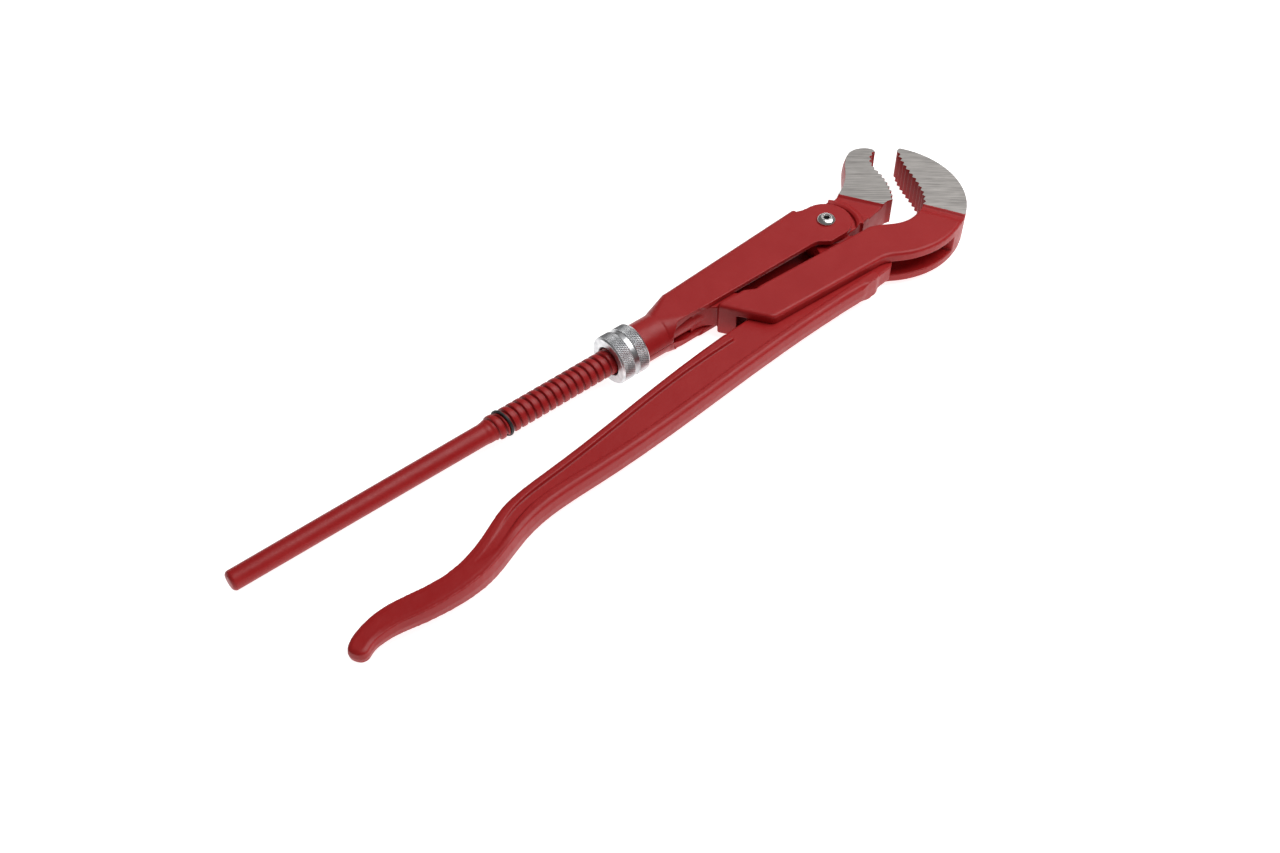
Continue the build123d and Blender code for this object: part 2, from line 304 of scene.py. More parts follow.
@dataclass(frozen=True)
class GroundSteel:
    """Bare steel with the straight scratches of a surface grinder."""

    slot: Slot = Slot.GROUND_STEEL
    bright: Colour = (0.60, 0.57, 0.545)
    dull: Colour = (0.31, 0.292, 0.278)
    turn_deg: float = 39.7

    def material(self) -> bpy.types.Material:
        """Bright and dull scratches along one direction, with a few long deeper ones.

        Returns:
            The material.
        """
        bench = NodeBench(self.slot.value)
        fine = bench.noise(1, 5, bench.stretched((45, 1500, 300), self.turn_deg), 0.65)
        coarse = bench.noise(1, 3, bench.stretched((22, 380, 90), self.turn_deg + 3), 0.6)
        cloud = bench.noise(60, 2)
        base = bench.blended(bench.remapped(fine, (0.38, 0.62), (0, 1)), self.dull, self.bright)
        streaked = bench.blended(bench.remapped(coarse, (0.50, 0.70), (0, 0.7)), base, self.bright)
        shade = bench.blended(bench.remapped(cloud, (0.35, 0.65), (0, 0.25)), streaked, self.dull)
        roughness = bench.remapped(fine, (0.3, 0.7), (0.34, 0.52))
        bench.set_plain(metallic=1.0)
        normal = bench.bump(coarse, 0.02, bench.bump(fine, 0.012))
        return bench.finish(shade, roughness, normal)


@dataclass(frozen=True)
class PlatedMetal:
    """Turned metal with a thin plated or oiled surface."""

    slot: Slot
    light: Colour
    dark: Colour
    rough: Span
    # Colour of the painted shade in grooves and hollows.
    groove: Colour = (0.10, 0.10, 0.105)
    turned_depth: float = 0.006

    def material(self) -> bpy.types.Material:
        """Slightly cloudy metal with turning marks round the thread axis, and painted shade in its grooves.

        Returns:
            The material.
        """
        bench = NodeBench(self.slot.value)
        cloud = bench.noise(240, 3)
        marks = bench.noise(1, 3, bench.stretched((2600, 90, 90)), 0.6)
        colour = bench.blended(bench.remapped(cloud, (0.35, 0.68), (0, 1)), self.light, self.dark)
        ridge = bench.add("ShaderNodeNewGeometry").outputs["Pointiness"]
        # Painted shade: grooves and hollows are darkened.
        with_painted_shade = bench.blended(bench.remapped(ridge, (0.49, 0.42), (0.0, 0.8)), colour, self.groove)
        roughness = bench.remapped(marks, (0.3, 0.7), self.rough)
        bench.set_plain(metallic=1.0)
        grain = bench.bump(cloud, 0.01)
        return bench.finish(with_painted_shade, roughness, bench.bump(marks, self.turned_depth, grain))


@dataclass(frozen=True)
class BlackRubber:
    """Moulded black rubber with a little dust in its grain."""

    slot: Slot = Slot.BLACK_RUBBER
    fresh: Colour = (0.010, 0.010, 0.011)
    dusty: Colour = (0.035, 0.033, 0.032)

    def material(self) -> bpy.types.Material:
        """Matt rubber with a fine grain.

        Returns:
            The material.
        """
        bench = NodeBench(self.slot.value)
        grain = bench.noise(1400, 3)
        dust = bench.noise(260, 3)
        colour = bench.blended(bench.remapped(dust, (0.45, 0.75), (0, 1)), self.fresh, self.dusty)
        roughness = bench.remapped(grain, (0.3, 0.7), (0.42, 0.6))
        return bench.finish(colour, roughness, bench.bump(grain, 0.02))


@dataclass(frozen=True)
class Finishes:
    """The finishes of the whole tool, made once."""

    enamel: bpy.types.Material
    ground: bpy.types.Material
    zinc: bpy.types.Material
    bright: bpy.types.Material
    spring: bpy.types.Material
    rubber: bpy.types.Material

    @classmethod
    def made(cls) -> "Finishes":
        """Makes every finish.

        Returns:
            The finishes.
        """
        zinc = PlatedMetal(Slot.ZINC_PLATE, (0.70, 0.70, 0.71), (0.50, 0.505, 0.52), (0.28, 0.42))
        bright = PlatedMetal(Slot.BRIGHT_STEEL, (0.80, 0.79, 0.77), (0.62, 0.61, 0.59), (0.14, 0.26))
        spring = PlatedMetal(Slot.SPRING_STEEL, (0.30, 0.29, 0.28), (0.16, 0.16, 0.17), (0.30, 0.45))
        return cls(
            enamel=RedEnamel().material(),
            ground=GroundSteel().material(),
            zinc=zinc.material(),
            bright=bright.material(),
            spring=spring.material(),
            rubber=BlackRubber().material(),
        )


# ---- the thread's own frame and the mesh tools ----------------------------------------------


@dataclass(frozen=True)
class ThreadFrame:
    """The thread axis as X, with the nut's rear face at x = 0, in millimetres."""

    origin: Vector

    @classmethod
    def found(cls) -> "ThreadFrame":
        """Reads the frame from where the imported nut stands.

        Returns:
            The frame.
        """
        low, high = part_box("adjusting_nut")
        return cls(Vector((low.x, (low.y + high.y) / 2, (low.z + high.z) / 2)))

    def to_model(self, points: np.ndarray) -> np.ndarray:
        """Millimetres in this frame as metres in the model's frame."""
        return points * MM + np.array(self.origin)

    def to_thread(self, points: np.ndarray) -> np.ndarray:
        """Metres in the model's frame as millimetres in this frame."""
        return (points - np.array(self.origin)) / MM


THREAD = ThreadFrame.found()


def smoothstep(value: np.ndarray | float, start: float, end: float) -> np.ndarray:
    """0 before start, 1 after end, and a smooth rise between them."""
    t = np.clip((np.asarray(value, float) - start) / (end - start), 0.0, 1.0)
    return t * t * (3 - 2 * t)


@dataclass(frozen=True)
class Stretch:
    """A stretch along X with soft ends: where it grows to its full strength and where it fades."""

    grows: Span
    fades: Span

    def strength(self, along: np.ndarray) -> np.ndarray:
        """From 0 outside the stretch to 1 inside it, at each place."""
        return smoothstep(along, *self.grows) * smoothstep(along, self.fades[1], self.fades[0])


def read_points(mesh: bpy.types.Mesh) -> np.ndarray:
    """Reads the mesh's points.

    Args:
        mesh: The mesh to read.

    Returns:
        Its points in the thread frame.
    """
    flat = np.empty(len(mesh.vertices) * 3, np.float32)
    mesh.vertices.foreach_get("co", flat)
    return THREAD.to_thread(flat.reshape(-1, 3).astype(float))


def read_normals(mesh: bpy.types.Mesh) -> np.ndarray:
    """Reads the direction in which the mesh faces at each of its points.

    Args:
        mesh: The mesh to read.

    Returns:
        One direction of length 1 for each point.
    """
    flat = np.empty(len(mesh.vertices) * 3, np.float32)
    mesh.vertex_normals.foreach_get("vector", flat)
    return flat.reshape(-1, 3).astype(float)


def write_points(mesh: bpy.types.Mesh, points: np.ndarray) -> None:
    """Moves the mesh's points to the given places in the thread frame."""
    mesh.vertices.foreach_set("co", THREAD.to_model(points).astype(np.float32).ravel())
    mesh.update()


def new_object(name: str, mesh: bpy.types.Mesh) -> bpy.types.Object:
    """Makes an object of the mesh and links it to the scene.

    Args:
        name: The object's name.
        mesh: Its mesh.

    Returns:
        The object.
    """
    piece = bpy.data.objects.new(name, mesh)
    bpy.context.scene.collection.objects.link(piece)
    return piece


def mesh_of(name: str, points: np.ndarray, faces: list[tuple[int, ...]]) -> bpy.types.Mesh:
    """A mesh from points in the thread frame.

    Args:
        name: The mesh's name.
        points: Its points, in millimetres.
        faces: The point numbers of each face.

    Returns:
        The mesh, with its faces turned outwards.
    """
    mesh = bpy.data.meshes.new(name)
    mesh.from_pydata(THREAD.to_model(points).tolist(), [], faces)
    work = bmesh.new()
    work.from_mesh(mesh)
    bmesh.ops.recalc_face_normals(work, faces=work.faces)
    work.to_mesh(mesh)
    work.free()
    return mesh


def welded_copy(node: str) -> bpy.types.Object:
    """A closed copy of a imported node's mesh.

    Args:
        node: The node's name.

    Returns:
        A new object of that shape.
    """
    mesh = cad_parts[node].data.copy()
    mesh.materials.clear()
    work = bmesh.new()
    work.from_mesh(mesh)
    bmesh.ops.remove_doubles(work, verts=work.verts, dist=0.001 * MM)
    work.to_mesh(mesh)
    work.free()
    for layer in list(mesh.attributes):
        if layer.name == "custom_normal":
            mesh.attributes.remove(layer)
    return new_object(node + "_skin", mesh)


def settle(piece: bpy.types.Object) -> None:
    """Applies all of the piece's modifiers.

    Args:
        piece: The piece with its modifiers.
    """
    graph = bpy.context.evaluated_depsgraph_get()
    made = bpy.data.meshes.new_from_object(piece.evaluated_get(graph), depsgraph=graph)
    piece.modifiers.clear()
    piece.data = made


def reskin(piece: bpy.types.Object, grain: float) -> None:
    """Covers the piece with an even skin.

    Args:
        piece: A closed piece.
        grain: The size of the skin's faces, in millimetres.
    """
    skin = piece.modifiers.new("skin", "REMESH")
    skin.mode = "VOXEL"
    skin.voxel_size = grain * MM
    settle(piece)


def combine(piece: bpy.types.Object, other: bpy.types.Object, how: Joining) -> None:
    """Works another closed mesh into the piece and removes it.

    Args:
        piece: The piece that stays.
        other: The mesh that is welded on or cut away. It brings its own material.
        how: Weld or cut.
    """
    step = piece.modifiers.new("combine", "BOOLEAN")
    step.operation = how.value
    step.solver = "MANIFOLD"
    step.object = other
    step.material_mode = "TRANSFER"
    settle(piece)
    bpy.data.objects.remove(other)


def relaxed(mesh: bpy.types.Mesh, points: np.ndarray, rounds: int, weight: np.ndarray) -> np.ndarray:
    """The points with their bumps and edges eased, without shrinking the piece.

    Args:
        mesh: The mesh that says which points are neighbours.
        points: Its points.
        rounds: How many times each point moves towards its neighbours.
        weight: How freely each point moves, from 0 to 1.

    Returns:
        The new points.
    """
    pairs = np.empty(len(mesh.edges) * 2, np.int32)
    mesh.edges.foreach_get("vertices", pairs)
    first, second = pairs.reshape(-1, 2).T
    count = np.bincount(first, minlength=len(points)) + np.bincount(second, minlength=len(points))
    for turn in range(rounds * 2):
        mean = np.empty_like(points)
        for axis in range(3):
            total = np.bincount(first, points[second, axis], len(points))
            total += np.bincount(second, points[first, axis], len(points))
            mean[:, axis] = total / np.maximum(count, 1)
        pull = EASE_PULL if turn % 2 == 0 else RECOVER_PULL
        points = points + (mean - points) * (pull * weight)[:, None]
    return points


def bulge(mesh: bpy.types.Mesh, points: np.ndarray, towards: Span, depth: float, half: float,
          weight: np.ndarray) -> np.ndarray:
    """How far a side wall swells out between its two edges, as forged walls do.

    Args:
        mesh: The mesh that the points belong to.
        points: Its points.
        towards: The direction in plan that the wall faces.
        depth: The swelling at the middle plane, in millimetres.
        half: Half the height of the wall.
        weight: How much of it each point takes, from 0 to 1.

    Returns:
        The move of each point.
    """
    normals = read_normals(mesh)
    facing = smoothstep(normals[:, :2] @ np.array(towards), 0.15, 0.7)
    size = depth * np.clip(1 - (points[:, 2] / half) ** 2, 0, 1) * facing * weight
    level = normals * np.array([1.0, 1.0, 0.0])
    return level / np.maximum(np.linalg.norm(level, axis=1), 0.1)[:, None] * size[:, None]


def lathe_grid(name: str, radius: Callable[[np.ndarray, np.ndarray], np.ndarray], rows: np.ndarray,
               sides: int) -> bpy.types.Mesh:
    """A closed round bar along the thread axis.

    Args:
        name: The mesh's name.
        radius: The radius at each place along the axis and each angle round it.
        rows: Places along the axis.
        sides: How many points go round it.

    Returns:
        The mesh.
    """
    angles = np.arange(sides) * (2 * math.pi / sides)
    along, around = np.meshgrid(rows, angles, indexing="ij")
    size = radius(along, around)
    points = np.stack([along, size * np.cos(around), size * np.sin(around)], axis=-1).reshape(-1, 3)
    faces = []
    for row in range(len(rows) - 1):
        for side in range(sides):
            after = (side + 1) % sides
            faces.append((row * sides + side, row * sides + after,
                          (row + 1) * sides + after, (row + 1) * sides + side))
    faces.append(tuple(range(sides)))
    faces.append(tuple(range((len(rows) - 1) * sides, len(rows) * sides)))
    return mesh_of(name, points, faces)


def slab(name: str, outline: list[Span], low: float, high: float) -> bpy.types.Object:
    """A flat block over an outline.

    Args:
        name: The block's name.
        outline: Its corners in plan, in order.
        low: Where it begins in Z.
        high: Where it ends in Z.

    Returns:
        The block as an object.
    """
    count = len(outline)
    points = np.array([(x, y, z) for z in (low, high) for x, y in outline])
    faces = [tuple(range(count)), tuple(range(count, 2 * count))]
    faces += [(i, (i + 1) % count, (i + 1) % count + count, i + count) for i in range(count)]
    return new_object(name, mesh_of(name, points, faces))


def hand_in(piece: bpy.types.Object, name: str, body: Body, slot: Slot, *nodes: str) -> None:
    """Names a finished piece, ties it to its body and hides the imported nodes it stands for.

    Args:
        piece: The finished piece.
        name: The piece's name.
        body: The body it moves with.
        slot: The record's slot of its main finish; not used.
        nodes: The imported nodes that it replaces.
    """
    piece.name = name
    piece.data.name = name
    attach(piece, body.value)
    if nodes:
        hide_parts(*nodes)
    log.info("%s: %d faces on %s", name, len(piece.data.polygons), body.value)


def shade(piece: bpy.types.Object, smooth: bool = True) -> None:
    """Shades the piece smooth or flat, and its ground faces always flat.

    Args:
        piece: The piece to shade.
        smooth: Whether the faces that aren't ground are shaded smooth.
    """
    ground = {i for i, m in enumerate(piece.data.materials) if m.name == Slot.GROUND_STEEL.value}
    for face in piece.data.polygons:
        face.use_smooth = smooth and face.material_index not in ground


def shade_by_angle(piece: bpy.types.Object, limit_deg: float) -> None:
    """Shades the piece smooth, and keeps the edges crisp that bend more than the limit.

    Args:
        piece: The piece to shade.
        limit_deg: The sharpest bend that is still shaded smooth, in degrees.
    """
    shade(piece)
    work = bmesh.new()
    work.from_mesh(piece.data)
    for edge in work.edges:
        edge.smooth = len(edge.link_faces) == 2 and edge.calc_face_angle(0.0) < math.radians(limit_deg)
    work.to_mesh(piece.data)
    work.free()


def dressed(node: str, material: bpy.types.Material) -> None:
    """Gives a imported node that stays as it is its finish.

    Args:
        node: The node's name.
        material: Its finish.
    """
    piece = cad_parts[node]
    piece.data.materials.clear()
    piece.data.materials.append(material)
    log.info("%s: packed node, finish %s", node, material.name)


@dataclass(frozen=True)
class GroundFace:
    """The two flat faces of a jaw, ground down to bare steel past a straight line."""

    half: float
    start: Span
    run: Span
    side: int
    overlap: float
    back: float
    length: float
    reach: float
    rise: float = 0.42
    soft_edge: Span = (-0.2, 0.6)
    soft_top: Span = (-0.8, -0.2)
    wheel_height: float = 8.0

    def beyond(self, points: np.ndarray) -> np.ndarray:
        """How far each point lies past the line where the grinding begins.

        Args:
            points: Points in the thread frame.

        Returns:
            The distance of each, in millimetres.
        """
        run = np.array(self.run) / np.hypot(*self.run)
        across = np.array([-run[1], run[0]]) * self.side
        return (points[:, :2] - np.array(self.start)) @ across

    def on_jaw(self, past: np.ndarray) -> np.ndarray:
        """From 0 short of the line to 1 past it."""
        return smoothstep(past, *self.soft_edge)

    def swell(self, points: np.ndarray, past: np.ndarray) -> None:
        """Lifts the jaw's two faces, so that grinding takes them down to a clean edge.

        Args:
            points: The piece's points, which are changed.
            past: How far each lies past the line.
        """
        start, end = (self.half + offset for offset in self.soft_top)
        lift = self.on_jaw(past) * smoothstep(np.abs(points[:, 2]), start, end)
        points[:, 2] += np.sign(points[:, 2]) * self.rise * lift

    def grind(self, piece: bpy.types.Object, finishes: Finishes) -> None:
        """Grinds both faces flat.

        Args:
            piece: The forging.
            finishes: The tool's finishes.
        """
        run = Vector(self.run).normalized()
        across = Vector((-run.y, run.x)) * self.side
        start = Vector(self.start) - run * self.back + across * -self.overlap
        end = start + run * self.length
        far = across * self.reach
        outline = [tuple(start), tuple(end), tuple(end + far), tuple(start + far)]
        for side in (1, -1):
            low, high = sorted((side * self.half, side * (self.half + self.wheel_height)))
            wheel = slab("grinding_wheel", outline, low, high)
            wheel.data.materials.append(finishes.ground)
            combine(piece, wheel, Joining.CUT)


# ---- the hook leg -----------------------------------------------------------------------------


@dataclass
class RolledThread:
    """The rolled thread and the round handle behind it."""

    crest: float = 8.4
    root: float = 6.9
    pitch: float = 5.2
    start: float = -90.5
    end: float = 42.0
    handle_end: float = -262.0
    handle_end_r: float = 6.1
    handle_neck_r: float = 6.6
    chamfer: float = 2.0
    chamfer_depth: float = 1.5
    chamfer_round: float = 0.8
    ring_groove: Span = (1.1, 1.8)
    shank_end: float = 66.0
    shank_taper: float = 6.0
    shank_drop: float = 1.2
    flank: Span = (0.10, 0.22)
    crown: Span = (0.5, 0.25)
    crown_dip: float = 0.05
    fade_outside: float = 3.0
    fade_inside: float = 2.0
    neck: Span = (2.0, 5.0)
    handle_step: float = 4.0
    shank_step: float = 1.5
    fine_steps: int = 20
    fine_before: float = 6.0
    fine_after: float = 4.0
    sides: int = 96

    def radius(self, along: np.ndarray, around: np.ndarray) -> np.ndarray:
        """The radius of thread and handle at each place.

        Args:
            along: Places along the axis.
            around: Angles round it.

        Returns:
            The radii.
        """
        phase = ((along - self.start) / self.pitch - around / (2 * math.pi)) % 1.0
        from_valley = np.minimum(phase, 1 - phase)
        dip = self.crown_dip * smoothstep(from_valley, *self.crown)
        height = smoothstep(from_valley, *self.flank) * (1 - dip)
        turn = around / (2 * math.pi) * self.pitch
        fade_in = smoothstep(along - turn, self.start - self.fade_outside, self.start + self.fade_inside)
        fade_out = smoothstep(along, self.end + self.fade_outside, self.end - self.fade_inside)
        ring = RING_AT - RING_TILT * np.cos(around)
        groove = 1 - smoothstep(np.abs(along - ring), *self.ring_groove)
        rise = (self.crest - self.root) * height * np.minimum(fade_in, fade_out) * (1 - groove)
        core = np.full_like(along, self.root)
        down = smoothstep(along, self.start - self.neck[0], self.start - self.neck[1])
        taper = np.clip((along - self.handle_end) / (self.start - self.handle_end), 0, 1)
        handle = self.handle_end_r + (self.handle_neck_r - self.handle_end_r) * taper
        core = core * (1 - down) + handle * down
        shank = smoothstep(along, self.end, self.end + self.fade_outside)
        core = core + (self.crest - self.root) * shank
        end = np.clip((along - self.handle_end) / self.chamfer, 0, 1)
        lead = self.chamfer_depth * (1 - np.sin(end * math.pi / 2) ** self.chamfer_round)
        tail = smoothstep(along, self.shank_end - self.shank_taper, self.shank_end)
        return core + rise - lead - tail * self.shank_drop

    def made(self) -> bpy.types.Object:
        """Builds thread and handle as one closed bar.

        Returns:
            The bar.
        """
        ends = self.handle_end + np.array([0, 0.1, 0.25, 0.5, 0.8, 1.2, 1.6, 2.0, 2.6])
        fine_from, fine_to = self.start - self.fine_before, self.end + self.fine_after
        handle = np.arange(self.handle_end + self.fine_before, fine_from, self.handle_step)
        fine = np.arange(fine_from, fine_to, self.pitch / self.fine_steps)
        shank = np.arange(fine_to + 1, self.shank_end + 0.1, self.shank_step)
        rows = np.concatenate([ends, handle, fine, shank])
        return new_object("thread", lathe_grid("thread", self.radius, rows, self.sides))


@dataclass
class HookLeg:
    """Hook jaw, slotted body, thread and round handle, forged in one."""

    node: str = "hook_jaw_leg"
    grain: float = 0.45
    cut_x: float = 58.0
    face: GroundFace = GroundFace(half=10.8, start=(246.0, -25.6), run=(11.9, -21.3), side=1, overlap=1.5,
                                  back=40.0, length=100.0, reach=90.0)
    edge_rounds: int = 6
    stiff: float = 0.8
    stiff_from: Span = (-4.0, 1.0)
    tail: Stretch = Stretch(grows=(59.0, 62.0), fades=(84.0, 96.0))
    tail_rounds: int = 60
    step: Stretch = Stretch(grows=(86.0, 93.0), fades=(104.0, 109.0))
    step_side: Span = (-23.0, -17.0)
    step_drop: float = 0.6
    web_corner: Span = (100.0, -12.3)
    web_half: float = 8.0
    outside: Span = (0.98, -0.2)
    outside_from: Span = (262.0, 272.0)
    outside_bulge: float = 0.8

    def bare(self) -> bpy.types.Object:
        """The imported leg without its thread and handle.

        Returns:
            The closed piece.
        """
        piece = welded_copy(self.node)
        work = bmesh.new()
        work.from_mesh(piece.data)
        at = Vector(THREAD.to_model(np.array([self.cut_x, 0.0, 0.0])))
        everything = work.verts[:] + work.edges[:] + work.faces[:]
        cut = bmesh.ops.bisect_plane(work, geom=everything, dist=1e-7, plane_co=at,
                                     plane_no=(1, 0, 0), clear_inner=True)
        rim = [e for e in cut["geom_cut"] if isinstance(e, bmesh.types.BMEdge)]
        bmesh.ops.holes_fill(work, edges=rim)
        work.to_mesh(piece.data)
        work.free()
        return piece

    def forging(self) -> bpy.types.Object:
        """The jaw and body with soft forged edges and without the thread.

        Returns:
            The closed piece.
        """
        piece = self.bare()
        reskin(piece, self.grain)
        points = read_points(piece.data)
        past = self.face.beyond(points)
        freedom = 1.0 - self.stiff * smoothstep(past, *self.stiff_from)
        points = relaxed(piece.data, points, self.edge_rounds, freedom)
        points = relaxed(piece.data, points, self.tail_rounds, self.tail.strength(points[:, 0]))
        drop = self.step_drop * self.step.strength(points[:, 0])
        points[:, 1] -= drop * smoothstep(points[:, 1], *self.step_side)
        web = (points[:, 0] < self.web_corner[0]) & (points[:, 1] > self.web_corner[1])
        points[web, 2] = np.clip(points[web, 2], -self.web_half, self.web_half)
        outer = self.face.on_jaw(past) * smoothstep(points[:, 0], *self.outside_from)
        points += bulge(piece.data, points, self.outside, self.outside_bulge, self.face.half, outer)
        self.face.swell(points, past)
        write_points(piece.data, points)
        return piece

    def build(self, finishes: Finishes) -> None:
        """Builds the leg.

        Args:
            finishes: The tool's finishes.
        """
        piece = self.forging()
        piece.data.materials.append(finishes.enamel)
        self.face.grind(piece, finishes)
        thread = RolledThread().made()
        thread.data.materials.append(finishes.enamel)
        combine(piece, thread, Joining.WELD)
        shade(piece)
        hand_in(piece, "hook_leg_forging", Body.HOOK_LEG, Slot.RED_ENAMEL, self.node)


@dataclass
class StopRing:
    """Black ring in a groove of the thread, where the nut must stop."""

    node: str = "thread_stop_ring"
    centre_r: float = 8.0
    half_width: float = 0.95
    half_height: float = 1.0
    uneven: float = 0.10
    uneven_turn: float = 0.6
    flattened: float = 0.8
    around: int = 96
    section: int = 20

    def build(self, finishes: Finishes) -> None:
        """Builds the ring, a little flattened and not quite even.

        Args:
            finishes: The tool's finishes.
        """
        points, faces = [], []
        for i in range(self.around):
            angle = 2 * math.pi * i / self.around
            drift = self.uneven * math.sin(angle + self.uneven_turn) - RING_TILT * math.cos(angle)
            beside = (i + 1) % self.around
            for j in range(self.section):
                turn = 2 * math.pi * j / self.section
                squared = (abs(math.cos(turn)) ** self.flattened) * math.copysign(1, math.cos(turn))
                along = RING_AT + drift + self.half_width * squared
                r = self.centre_r + self.half_height * math.sin(turn)
                points.append((along, r * math.cos(angle), r * math.sin(angle)))
                above = (j + 1) % self.section
                faces.append((i * self.section + j, beside * self.section + j,
                              beside * self.section + above, i * self.section + above))
        piece = new_object("stop_ring", mesh_of("stop_ring", np.array(points), faces))
        piece.data.materials.append(finishes.rubber)
        shade(piece)
        hand_in(piece, "stop_ring_black", Body.HOOK_LEG, Slot.BLACK_RUBBER, self.node)


# ---- the link and what it carries ---------------------------------------------------------------


@dataclass
class FoldedLink:
    """The folded steel link: sleeve, flare, two cheeks and back."""

    node: str = "link_channel"
    grain: float = 0.45
    edge_rounds: int = 5
    stiff: float = 0.6
    middle: float = 48.0
    stiff_from: Span = (60.0, 70.0)
    flare: Stretch = Stretch(grows=(26.0, 36.0), fades=(62.0, 74.0))
    flare_side: Span = (-6.0, 0.0)
    flare_rounds: int = 110
    seam_half: float = 0.35
    seam_along: Span = (7.0, 49.0)
    seam_across: Span = (-22.0, -6.0)

    def build(self, finishes: Finishes) -> None:
        """Builds the link with the soft edges of cut and folded sheet.

        Args:
            finishes: The tool's finishes.
        """
        piece = welded_copy(self.node)
        reskin(piece, self.grain)
        points = read_points(piece.data)
        freedom = 1.0 - self.stiff * smoothstep(np.abs(points[:, 0] - self.middle), *self.stiff_from)
        points = relaxed(piece.data, points, self.edge_rounds, freedom)
        flare = self.flare.strength(points[:, 0]) * smoothstep(points[:, 1], *self.flare_side)
        points = relaxed(piece.data, points, self.flare_rounds, flare)
        write_points(piece.data, points)
        piece.data.materials.append(finishes.enamel)
        (start, end), (outer, inner) = self.seam_along, self.seam_across
        corners = [(start, outer), (end, outer), (end, inner), (start, inner)]
        seam = slab("seam", corners, -self.seam_half, self.seam_half)
        seam.data.materials.append(finishes.enamel)
        combine(piece, seam, Joining.CUT)
        shade(piece)
        hand_in(piece, "folded_link", Body.LINK, Slot.RED_ENAMEL, self.node)


@dataclass
class PivotScrew:
    """Domed screw with a hexagon socket, and the barrel nut with a low head that it joins."""

    node: str = "pivot_screw"
    barrel_node: str = "pivot_barrel"
    sides: int = 96
    crisp_deg: float = 32.0
    screw: tuple[Span, ...] = (
        (3.0, 0.0), (3.0, 12.0), (5.75, 12.0), (6.1, 12.2), (6.2, 12.55), (6.1, 12.95), (5.7, 13.55),
        (5.1, 14.1), (4.4, 14.5), (3.6, 14.78), (3.05, 14.88), (2.85, 14.86), (2.7, 14.74), (2.35, 14.35))
    socket_floor: float = 12.5
    socket_top: float = 18.0
    socket_across: float = 4.0
    socket_turn: float = 14.0
    barrel: tuple[Span, ...] = (
        (3.0, 12.0), (4.1, 12.0), (4.3, 11.7), (4.3, -12.0), (5.8, -12.0), (6.1, -12.2), (6.15, -12.7),
        (5.9, -13.4), (5.3, -13.95), (4.4, -14.35), (3.2, -14.55), (1.6, -14.62))
    barrel_floor: float = -0.2

    def turned(self, name: str, profile: tuple[Span, ...], last: float, first: float) -> bpy.types.Object:
        """A piece turned about the pivot axis.

        Args:
            name: The piece's name.
            profile: Radii and heights from its first end to its last.
            last: Height of its middle at the last end.
            first: Height of its middle at the first end.

        Returns:
            The closed piece.
        """
        x, y = PIVOT
        angles = np.arange(self.sides) * (2 * math.pi / self.sides)
        rings = [(x + r * np.cos(angles), y + r * np.sin(angles), np.full(self.sides, z)) for r, z in profile]
        middles = [(x, y, first), (x, y, last)]
        points = np.concatenate([np.stack(ring, axis=1) for ring in rings] + [middles])
        start, end = len(points) - 2, len(points) - 1
        faces = []
        for side in range(self.sides):
            after = (side + 1) % self.sides
            for ring in range(len(profile) - 1):
                low, high = ring * self.sides, (ring + 1) * self.sides
                faces.append((low + side, low + after, high + after, high + side))
            faces.append((start, after, side))
            faces.append((end, high + side, high + after))
        return new_object(name, mesh_of(name, points, faces))

    def build(self, finishes: Finishes) -> None:
        """Builds the screw and its barrel nut.

        Args:
            finishes: The tool's finishes.
        """
        screw = self.turned("screw", self.screw, self.screw[-1][1], self.screw[0][1])
        reach = self.socket_across / 2 / math.cos(math.pi / 6)
        turns = [math.radians(60 * corner + self.socket_turn) for corner in range(6)]
        hexagon = [(PIVOT[0] + reach * math.cos(t), PIVOT[1] + reach * math.sin(t)) for t in turns]
        socket = slab("socket", hexagon, self.socket_floor, self.socket_top)
        for piece in (screw, socket):
            piece.data.materials.append(finishes.bright)
        combine(screw, socket, Joining.CUT)
        barrel = self.turned("barrel", self.barrel, self.barrel[-1][1], self.barrel_floor)
        barrel.data.materials.append(finishes.bright)
        named = ((screw, "domed_pivot_screw", self.node), (barrel, "barrel_nut", self.barrel_node))
        for piece, name, node in named:
            shade_by_angle(piece, self.crisp_deg)
            hand_in(piece, name, Body.LINK, Slot.BRIGHT_STEEL, node)


@dataclass
class RetainingRing:
    """The spring ring inside the nut."""

    node: str = "nut_retaining_ring"

    def build(self, finishes: Finishes) -> None:
        """Dresses the ring.

        Args:
            finishes: The tool's finishes.
        """
        dressed(self.node, finishes.spring)


